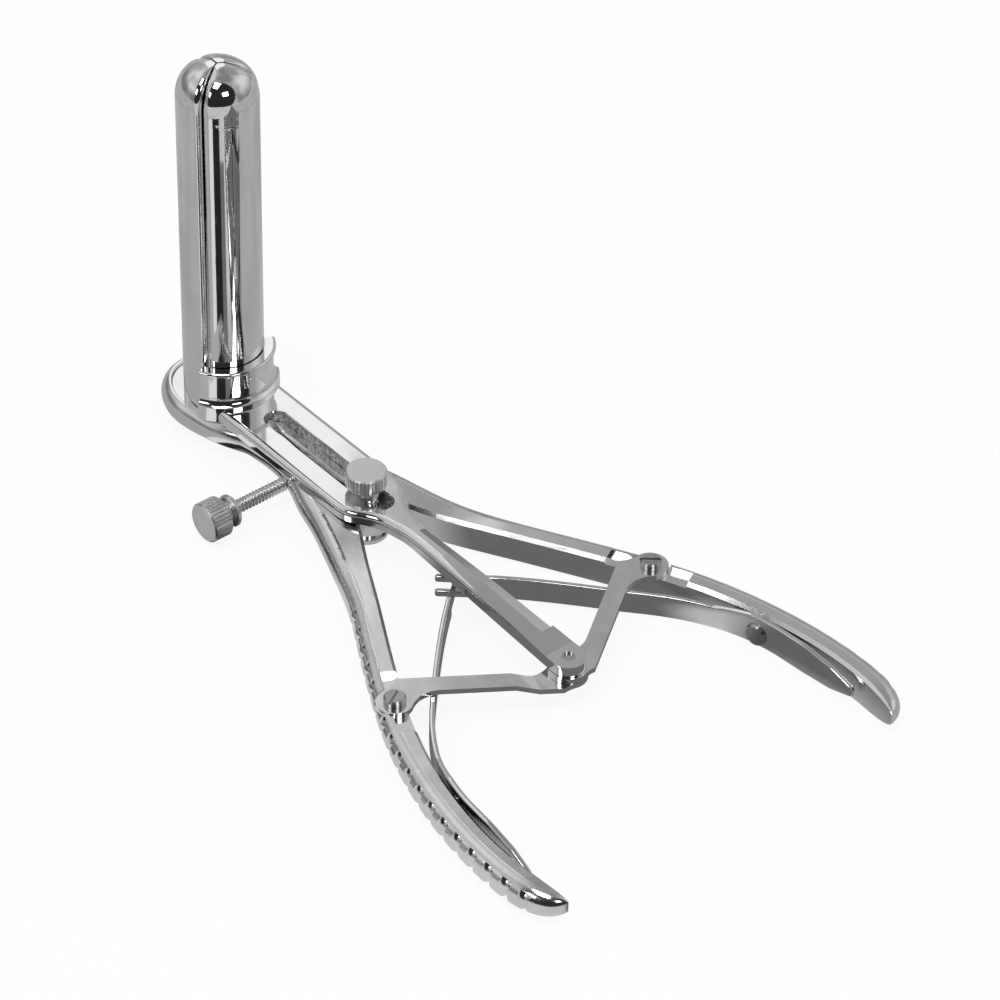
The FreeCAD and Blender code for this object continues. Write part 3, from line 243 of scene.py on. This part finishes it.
def satin(name, rough, dark, light):
    """Fine-turned steel: a soft grey sheen with a fine grain and smudges of haze."""
    steel = Finish(name, Metallic=1.0)
    grain = steel.noise(GRAIN, 3.0)
    cloud = steel.noise(SMUDGES, 3.0)
    steel.relief(grain, GRAIN_DEPTH)
    steel.gloss(rough + cloud.between(0.3, 0.8) * SMUDGE_HAZE)
    steel.tint(cloud.between(0.3, 0.7) * 0.7 + grain * 0.3, dark, light)
    return steel.material


def skin(name, rings, material):
    """A closed skin through rings of points, rows by sides by 3, with a flat cap on each end.

    Each ring runs anticlockwise seen from the front of the path, so faces point outwards.
    """
    rows, sides, _ = rings.shape
    here = np.arange(rows * sides).reshape(rows, sides)
    after = np.roll(here, -1, axis=1)
    quads = np.stack([here[:-1], after[:-1], after[1:], here[1:]], axis=-1).reshape(-1, 4)
    caps = [here[0][::-1].tolist(), here[-1].tolist()]
    mesh = bpy.data.meshes.new(name)
    mesh.from_pydata(rings.reshape(-1, 3).tolist(), [], quads.tolist() + caps)
    smooth = np.ones(len(mesh.polygons), dtype=bool)
    smooth[-2:] = False
    mesh.polygons.foreach_set("use_smooth", smooth)
    mesh.materials.append(material)
    made = bpy.data.objects.new(name, mesh)
    bpy.context.scene.collection.objects.link(made)
    return made


def thread(name, foot, along, length, radius, pitch, material):
    """A screw thread: the radius falls by 0.54 of the pitch between crests of one helix.

    The radius at height h and angle a is the crest's, less the depth times the flattened
    triangle wave of h / pitch - a / a full turn. A short cone chamfers each end.
    """
    rows = int(length / pitch * THREAD_STEPS) + 1
    height = np.linspace(0, length, rows)[:, None]
    angle = np.linspace(0, 2 * np.pi, THREAD_SIDES, endpoint=False)[None, :]
    wave = np.abs(2 * np.mod(height / pitch - angle / (2 * np.pi), 1.0) - 1)
    depth = THREAD_DEPTH * pitch * np.clip(FLANK_RISE * wave - ROOT_FLAT, 0, 1)
    ends = np.minimum(height, length - height)
    chamfer = CHAMFER_DEPTH * pitch * np.clip(1 - ends / (CHAMFER_LENGTH * pitch), 0, 1)
    reach = radius - np.maximum(depth, chamfer)
    along = np.array(along, dtype=float)
    side = np.array((1.0, 0, 0))
    other = np.cross(along, side)
    rings = (np.array(foot) + height[..., None] * along
             + (reach * np.cos(angle))[..., None] * side + (reach * np.sin(angle))[..., None] * other)
    return skin(name, rings, material)


knurled = satin("knurled_satin", 0.27, (0.66, 0.66, 0.67), (0.82, 0.82, 0.83))
threaded = satin("threaded_satin", 0.2, (0.68, 0.68, 0.69), (0.84, 0.84, 0.85))
dress(knurled, "thumb_screw_head")
low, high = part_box("thumb_screw_rod")
thumb_thread = thread("thumb_screw_thread", (0, 0, low[2]), (0, 0, 1), high[2] - low[2],
                      (high[1] - low[1]) / 2, PITCH_THUMB, threaded)
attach(thumb_thread, "thumb_rod")
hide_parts("thumb_screw_rod")

# Set screw: the same knurled head, with a shoulder disc, on a longer threaded rod. It goes
# through the left lever's arm from outside, as far as the face beside the slide.

PITCH_SET = 0.9 * MM
dress(knurled, "set_screw_head")
low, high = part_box("set_screw_rod")
set_thread = thread("set_screw_thread", ((low[0] + high[0]) / 2, high[1], (low[2] + high[2]) / 2),
                    (0, -1, 0), high[1] - low[1], (high[0] - low[0]) / 2, PITCH_SET, threaded)
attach(set_thread, "set_rod")
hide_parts("set_screw_rod")

# Links: two flat steel straps from the handles to the slide's rear rivet, stamped with the
# bar askew between the eyes, and buffed. Slotted shoulder screws hold them on the handles.

link_steel = polished("link_steel", 0.12, 0.12 * MM, (0.76, 0.76, 0.77), (0.83, 0.83, 0.84), waves=55)
dress(link_steel, "right_link", "left_link")
screw_steel = polished("screw_steel", 0.24, 0.02 * MM, (0.38, 0.38, 0.39), (0.55, 0.55, 0.56))
dress(screw_steel, "right_link_screw", "left_link_screw", "link_rivet", "rivet_tail",
      "right_spring_screw", "left_spring_screw")

# Leaf springs: strips of hardened steel, screwed inside the handles near the grip. One ends
# in a fork and the other in a tongue that slides in it. In the real tool each bends as the
# handles close, but here both keep one shape.

SPRING_ROUTE = np.array([(109.5, 44.8), (104.0, 44.4), (98.0, 44.0), (91.5, 43.5), (85.2, 42.8),
                         (78.2, 41.1), (70.8, 37.8), (62.6, 32.3), (52.9, 23.6), (41.5, 12.2),
                         (30.8, 0.0), (26.8, -4.4)]) * MM
BEND_START, CROSSING = np.array((78.0, 41.1)) * MM, np.array((30.8, 0.0)) * MM
SPRING_HALF, SPRING_CORNER, SPRING_LEVEL = 0.6 * MM, 0.3 * MM, 3 * MM
EDGE_X = np.array((26.0, 36.8, 56.0, 72.0, 80.0, 95.0, 103.0, 109.5)) * MM
LOWER_EDGE = np.array((1.9, 1.9, 0.3, 0.3, 0.3, 0.3, 0.8, 2.4)) * MM
UPPER_EDGE = np.array((7.6, 7.6, 6.0, 6.0, 7.6, 7.6, 6.6, 4.4)) * MM
TINE_LOWER, TINE_UPPER, TONGUE = (1.9, 3.5), (6.0, 7.6), (3.9, 5.6)
FORK_END, FORK_ROOT, TONGUE_END, TONGUE_ROOT = 4.2 * MM, -4.3 * MM, 2.4 * MM, -6.6 * MM
ROOT_OVERLAP, TIP_LEAST = 1 * MM, 0.02
LINE_POINTS, RIBBON_ROWS, CORNER_POINTS = 600, 120, 5


def smooth_line(points, count):
    """A curve through all the points, a cubic between each two of them.

    Its slope at a point is half the step from the point before to the point after.
    """
    place = np.linspace(0, len(points) - 1, count)
    first = np.minimum(place.astype(int), len(points) - 2)
    part = (place - first)[:, None]
    before = points[np.maximum(first - 1, 0)]
    start, stop = points[first], points[first + 1]
    after = points[np.minimum(first + 2, len(points) - 1)]
    return 0.5 * (2 * start + (stop - before) * part
                  + (2 * before - 5 * start + 4 * stop - after) * part ** 2
                  + (3 * start - before - 3 * stop + after) * part ** 3)


def ribbon(name, side, start, stop, material, band=None):
    """A strip on edge along the spring's line, between two distances past the crossing.

    Its section is a rectangle with round corners, from the lower to the upper edge's level.
    With no start it begins at the foot, and a band gives both levels in mm instead. At its
    ends the thickness shrinks by a quarter circle.
    """
    line = smooth_line(SPRING_ROUTE * (1, side), LINE_POINTS)
    run = np.append(0, np.cumsum(np.hypot(*np.diff(line, axis=0).T)))
    run -= run[np.argmin(np.hypot(*(line - CROSSING).T))]
    start = run[0] if start is None else start
    steps = start + (stop - start) * np.linspace(0, 1, RIBBON_ROWS)
    centre = np.stack([np.interp(steps, run, line[:, i]) for i in (0, 1)], axis=1)
    course = np.gradient(centre, axis=0)
    course /= np.hypot(*course.T)[:, None]
    left = np.stack([-course[:, 1], course[:, 0], 0 * steps], axis=1)
    if band:
        low, high = np.full(RIBBON_ROWS, band[0] * MM), np.full(RIBBON_ROWS, band[1] * MM)
    else:
        low = np.interp(centre[:, 0], EDGE_X, LOWER_EDGE)
        high = np.interp(centre[:, 0], EDGE_X, UPPER_EDGE)
    ends = np.clip(np.minimum(steps - start, stop - steps) / SPRING_HALF, TIP_LEAST, 1)
    shrink = np.sqrt(1 - (1 - ends) ** 2)[:, None]
    corner = np.repeat(np.arange(4), CORNER_POINTS)
    angle = (corner + np.tile(np.linspace(0, 1, CORNER_POINTS), 4)) * np.pi / 2
    sign_a = np.array((1, -1, -1, 1))[corner]
    sign_b = np.array((1, 1, -1, -1))[corner]
    across = ((SPRING_HALF - SPRING_CORNER) * sign_a + SPRING_CORNER * np.cos(angle)) * shrink
    half = ((high - low) / 2)[:, None]
    upward = (half - SPRING_CORNER) * sign_b + SPRING_CORNER * np.sin(angle) * shrink
    rings = np.zeros((RIBBON_ROWS, 4 * CORNER_POINTS, 3))
    rings[..., :2] = centre[:, None, :]
    rings[..., 2] = ((low + high) / 2)[:, None] + upward
    rings += across[..., None] * left[:, None, :]
    return skin(name, rings, material)


def joined(name, pieces):
    """One piece made of several closed skins."""
    with bpy.context.temp_override(active_object=pieces[0], selected_editable_objects=pieces):
        bpy.ops.object.join()
    pieces[0].name = name
    return pieces[0]


spring_steel = polished("spring_steel_finish", 0.12, 0.12 * MM, (0.70, 0.70, 0.71), (0.80, 0.80, 0.81))
fork = joined("right_leaf", [
    ribbon("right_leaf_strip", 1, None, FORK_ROOT, spring_steel),
    ribbon("right_leaf_low", 1, FORK_ROOT - ROOT_OVERLAP, FORK_END, spring_steel, TINE_LOWER),
    ribbon("right_leaf_high", 1, FORK_ROOT - ROOT_OVERLAP, FORK_END, spring_steel, TINE_UPPER)])
tongue = joined("left_leaf", [
    ribbon("left_leaf_strip", -1, None, TONGUE_ROOT, spring_steel),
    ribbon("left_leaf_end", -1, TONGUE_ROOT - ROOT_OVERLAP, TONGUE_END, spring_steel, TONGUE)])
for leaf, side, hand in ((fork, 1, "right"), (tongue, -1, "left")):
    hand + "_lever"
    side * BEND_START[1]
    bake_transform(leaf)
    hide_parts(hand + "_spring")

# Table and surroundings: a plain pale table in a white room. Both are white to the camera and
# to reflected rays, and the table keeps the object's own soft shadow.

TABLE_GREY, TABLE_REACH, TABLE_WHITE = 0.88, 4.0, 0.9
ROOM_LIGHT = 0.75


def background_rays(shading):
    """1 for rays that show the background: from the camera, reflected or refracted."""
    path = shading.node("ShaderNodeLightPath").outputs
    camera_ray, glossy_ray, passing_ray = (
        Value(shading.tree, path[kind])
        for kind in ("Is Camera Ray", "Is Glossy Ray", "Is Transmission Ray"))
    return camera_ray.math("MAXIMUM", glossy_ray).math("MAXIMUM", passing_ray)


def flat_piece(name, corners, material):
    """A flat stage piece through its corners in order."""
    mesh = bpy.data.meshes.new(name)
    mesh.from_pydata([tuple(c) for c in corners], [], [tuple(range(len(corners)))])
    mesh.materials.append(material)
    made = bpy.data.objects.new(name, mesh)
    bpy.context.scene.collection.objects.link(made)
    return made


def rectangle(low, high, level):
    """The corners of a level rectangle, anticlockwise from above."""
    return [(low[0], low[1], level), (high[0], low[1], level),
            (high[0], high[1], level), (low[0], high[1], level)]


table = Finish("table", Base_Color=(TABLE_GREY, TABLE_GREY, TABLE_GREY, 1), Roughness=0.9,
               Specular_IOR_Level=0.0)
white = table.node("ShaderNodeEmission", Strength=1.0)
mix = table.node("ShaderNodeMixShader", (), {0: background_rays(table) * TABLE_WHITE,
                                             1: table.shader.outputs[0], 2: white.outputs[0]})
table.put(table.tree.nodes["Material Output"].inputs[0], mix.outputs[0])
flat_piece("table_top", rectangle((-TABLE_REACH, -TABLE_REACH), (TABLE_REACH, TABLE_REACH), 0),
           table.material)

world = bpy.data.worlds.new("surroundings")
bpy.context.scene.world = world
world.use_nodes = True
room = Shading(world.node_tree)
seen = room.tree.nodes["Background"]
room.put(seen.inputs["Color"], (1, 1, 1, 1))
room.put(seen.inputs["Strength"], 1.0)
lit = room.node("ShaderNodeBackground", Color=(1, 1, 1, 1), Strength=ROOM_LIGHT)
mix = room.node("ShaderNodeMixShader", (), {0: background_rays(room),
                                            1: lit.outputs[0], 2: seen.outputs[0]})
room.put(room.tree.nodes["World Output"].inputs[0], mix.outputs[0])

# Tent and cards: polished steel looks like the room round it. A grey cloth tent with a
# window and a dark side, and cards on the table, hide the white room from it, and show in
# reflections only. Three softboxes light the object.

TENT_RADIUS, TENT_GREY, TENT_SIDES, TENT_RINGS, TENT_TOP = 3.0, 0.46, 72, 19, 0.01
WINDOW_LIGHT, BESIDE_LIGHT = 1.02, 0.2
WINDOW_LEFT, WINDOW_RIGHT, WINDOW_FOOT, WINDOW_HEAD = (-129.0, -128.4), (-111, -113), (26, 30), (58, 54)
BESIDE_TURN, BESIDE_FOOT, BESIDE_HEAD = (-134.5, -129.2), (15, 30), (66, 54)
DARK_SIDE, DARK_TOWARDS, DARK_EDGE, DARK_FULL = 0.025, (49, 32), 54, 50
FOLDS = 0.55
# GAP_SHADE is painted shade between the handles; PATCH_LIGHT and SIDE_LIGHT are painted light.
FLOOR_GREY, FLOOR_CLOUDS, GAP_SHADE, PATCH_LIGHT, SIDE_LIGHT = 0.45, 13, 0.16, 0.45, 0.16
CARD_LEVEL, CARD_REACH, CARD_NEAR = 0.4 * MM, 2, 12 * MM
PRONGS_X = -51.5 * MM
SCREW_CARD_SIDE, SCREW_CARD_FRONT = 12 * MM, 10 * MM
LAMP_AIM, LAMP_DISTANCE = Vector((20 * MM, 0, 30 * MM)), 1.4


def only_reflected(piece):
    """The piece casts no shadow and shows only in shiny things."""
    piece.visible_camera = False
    piece.visible_diffuse = False
    piece.visible_shadow = False
    piece.visible_transmission = False
    return piece


def glowing(name, brightness):
    """Card or cloth that sends out light; brightness is a number or a function of its Finish."""
    made = Finish(name)
    made.tree.nodes.remove(made.shader)
    level = brightness(made) if callable(brightness) else brightness
    glow = made.node("ShaderNodeEmission", Strength=level)
    made.put(made.tree.nodes["Material Output"].inputs[0], glow.outputs[0])
    return made.material


def towards(azimuth, elevation):
    """Unit vectors from the object to a point of the room: back, to its right and up."""
    a, e = math.radians(azimuth), math.radians(elevation)
    back = Vector((math.sin(a) * math.cos(e), -math.cos(a) * math.cos(e), math.sin(e)))
    right = Vector((math.cos(a), math.sin(a), 0))
    return back, right, back.cross(right)


def tent_light(cloth):
    """Grey cloth in folds, a bright window with a lit strip beside it, and a dark side.

    The azimuth comes from the tent's x and y, and the elevation from its height, both in
    degrees. The dark side is a round patch that ends 50 to 54 degrees from its middle.
    """
    x, y, z = cloth.position()
    turn = x.math("ARCTAN2", y * -1.0) * (180 / math.pi)
    rise = (z * (1 / TENT_RADIUS)).math("ARCSINE") * (180 / math.pi)
    back, _, _ = towards(*DARK_TOWARDS)
    facing = (x * back.x + y * back.y + z * back.z) * (1 / TENT_RADIUS)
    dark = facing.between(math.cos(math.radians(DARK_EDGE)), math.cos(math.radians(DARK_FULL)))
    window = turn.between(*WINDOW_LEFT) * turn.between(*WINDOW_RIGHT)
    window = window * rise.between(*WINDOW_FOOT) * rise.between(*WINDOW_HEAD)
    beside = turn.between(*BESIDE_TURN) * rise.between(*BESIDE_FOOT) * rise.between(*BESIDE_HEAD)
    folds = cloth.noise(FOLDS, 1.0).between(0.36, 0.64)
    level = TENT_GREY * (0.72 + rise.between(0, 80) * 0.2) * (0.6 + folds * 0.95)
    level = level + beside * BESIDE_LIGHT
    return level * (1.0 - dark) * (1.0 - window) + dark * DARK_SIDE + window * WINDOW_LIGHT


def uneven_grey(card):
    """The table's grey light in soft patches, with painted shade between the handles and painted light
    past the left.

    The handles' inner faces lie at y = 6 mm + x / 2, up to 43 mm. A light patch between them
    lies before the place where the right spring leaves its handle.
    """
    x, y, _ = card.position()
    past_face = y.math("ABSOLUTE") - (x * 0.5 + 6 * MM).math("MINIMUM", 43 * MM)
    inside = past_face.between(3 * MM, -2 * MM) * x.between(12 * MM, 20 * MM)
    patch = x.between(63 * MM, 70 * MM) * x.between(82 * MM, 74 * MM) * y.between(26 * MM, 32 * MM)
    beside = x.between(0, 15 * MM) * y.between(-10 * MM, -14 * MM) * (1.0 - inside)
    plain = FLOOR_GREY * (0.85 + card.noise(FLOOR_CLOUDS, 1.0).between(0.3, 0.7) * 0.3)
    # painted shade where the handles would shade the table, with a patch of painted light in it
    shade_and_light_between_handles = inside * (GAP_SHADE + patch * PATCH_LIGHT)
    return plain * (1.0 - inside) + shade_and_light_between_handles + beside * SIDE_LIGHT


def tent(name, material):
    """Half a sphere on a flat floor: one radius for each azimuth and each rise."""
    azimuth = np.linspace(0, 2 * np.pi, TENT_SIDES + 1)[:-1][None, :]
    rise = np.linspace(0, np.pi / 2 - TENT_TOP, TENT_RINGS)[:, None]
    rings = TENT_RADIUS * np.stack(np.broadcast_arrays(
        np.cos(rise) * np.cos(azimuth), np.cos(rise) * np.sin(azimuth), np.sin(rise)), axis=-1)
    made = skin(name, rings, material)
    return only_reflected(made)


def wedge(name, start, stop, brightness, far):
    """A wedge of card on the table, between two azimuths round the prongs."""
    corners = []
    for angle, distance in ((start, CARD_NEAR), (start, far), (stop, far), (stop, CARD_NEAR)):
        back, _, _ = towards(angle, 0)
        corners.append(Vector((PRONGS_X, 0, CARD_LEVEL)) + back * distance)
    return only_reflected(flat_piece(name, corners, glowing(name, brightness)))


def softbox(name, azimuth, elevation, width, watts):
    """A square area lamp that looks at the object from a direction."""
    back, _, _ = towards(azimuth, elevation)
    lamp = bpy.data.lights.new(name, "AREA")
    lamp.size = width
    lamp.energy = watts
    made = bpy.data.objects.new(name, lamp)
    bpy.context.scene.collection.objects.link(made)
    made.location = LAMP_AIM + back * LAMP_DISTANCE
    made.rotation_euler = back.to_track_quat("Z", "Y").to_euler()
    return made


tent("tent", glowing("tent_cloth", tent_light))
only_reflected(flat_piece("grey_card", rectangle((-CARD_REACH, -CARD_REACH), (CARD_REACH, CARD_REACH),
                                                 CARD_LEVEL / 2), glowing("grey_card", uneven_grey)))
wedge("light_card", 24, 39, 0.8, 0.145)
wedge("black_card", 39, 56, 0.02, 0.15)
wedge("dusky_card", 56, 66, 0.17, 0.12)
low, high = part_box("set_screw_head")
only_reflected(flat_piece("screw_card", rectangle(
    (low[0] - SCREW_CARD_SIDE, low[1] - SCREW_CARD_FRONT), (high[0], low[1]), 2 * CARD_LEVEL),
    glowing("screw_card", FLOOR_GREY)))
softbox("key_lamp", 30, 74, 0.5, 5.0)
softbox("right_lamp", 80, 42, 0.35, 1.6)
softbox("left_lamp", 3, 38, 0.4, 1.6)

# Camera: at the photograph's viewing angle, one metre away, with a long lens.

AZIMUTH, ELEVATION, ROLL = 49.21, 39.30, math.radians(-1.42)
DISTANCE, SHIFT_ACROSS, SHIFT_UP, AIM_HEIGHT = 1.0, -0.02943, 0.00229, 0.012
LENS_PIXELS, FRAME_PIXELS, SENSOR = 4550, 1000, 36.0

back, level, rise = towards(AZIMUTH, ELEVATION)
across = level * math.cos(ROLL) - rise * math.sin(ROLL)
upward = level * math.sin(ROLL) + rise * math.cos(ROLL)
lens = bpy.data.cameras.new("photo_camera")
lens.sensor_width = SENSOR
lens.lens = LENS_PIXELS * SENSOR / FRAME_PIXELS
lens.clip_end = 20.0
camera = bpy.data.objects.new("photo_camera", lens)
bpy.context.scene.collection.objects.link(camera)
spot = Vector((0, 0, AIM_HEIGHT)) + back * DISTANCE - across * SHIFT_ACROSS - upward * SHIFT_UP
camera.matrix_world = (Matrix.Translation(spot)
                       @ Matrix((across, upward, back)).transposed().to_4x4())
bpy.context.scene.camera = camera

bpy.context.scene.view_settings.view_transform = "Standard"
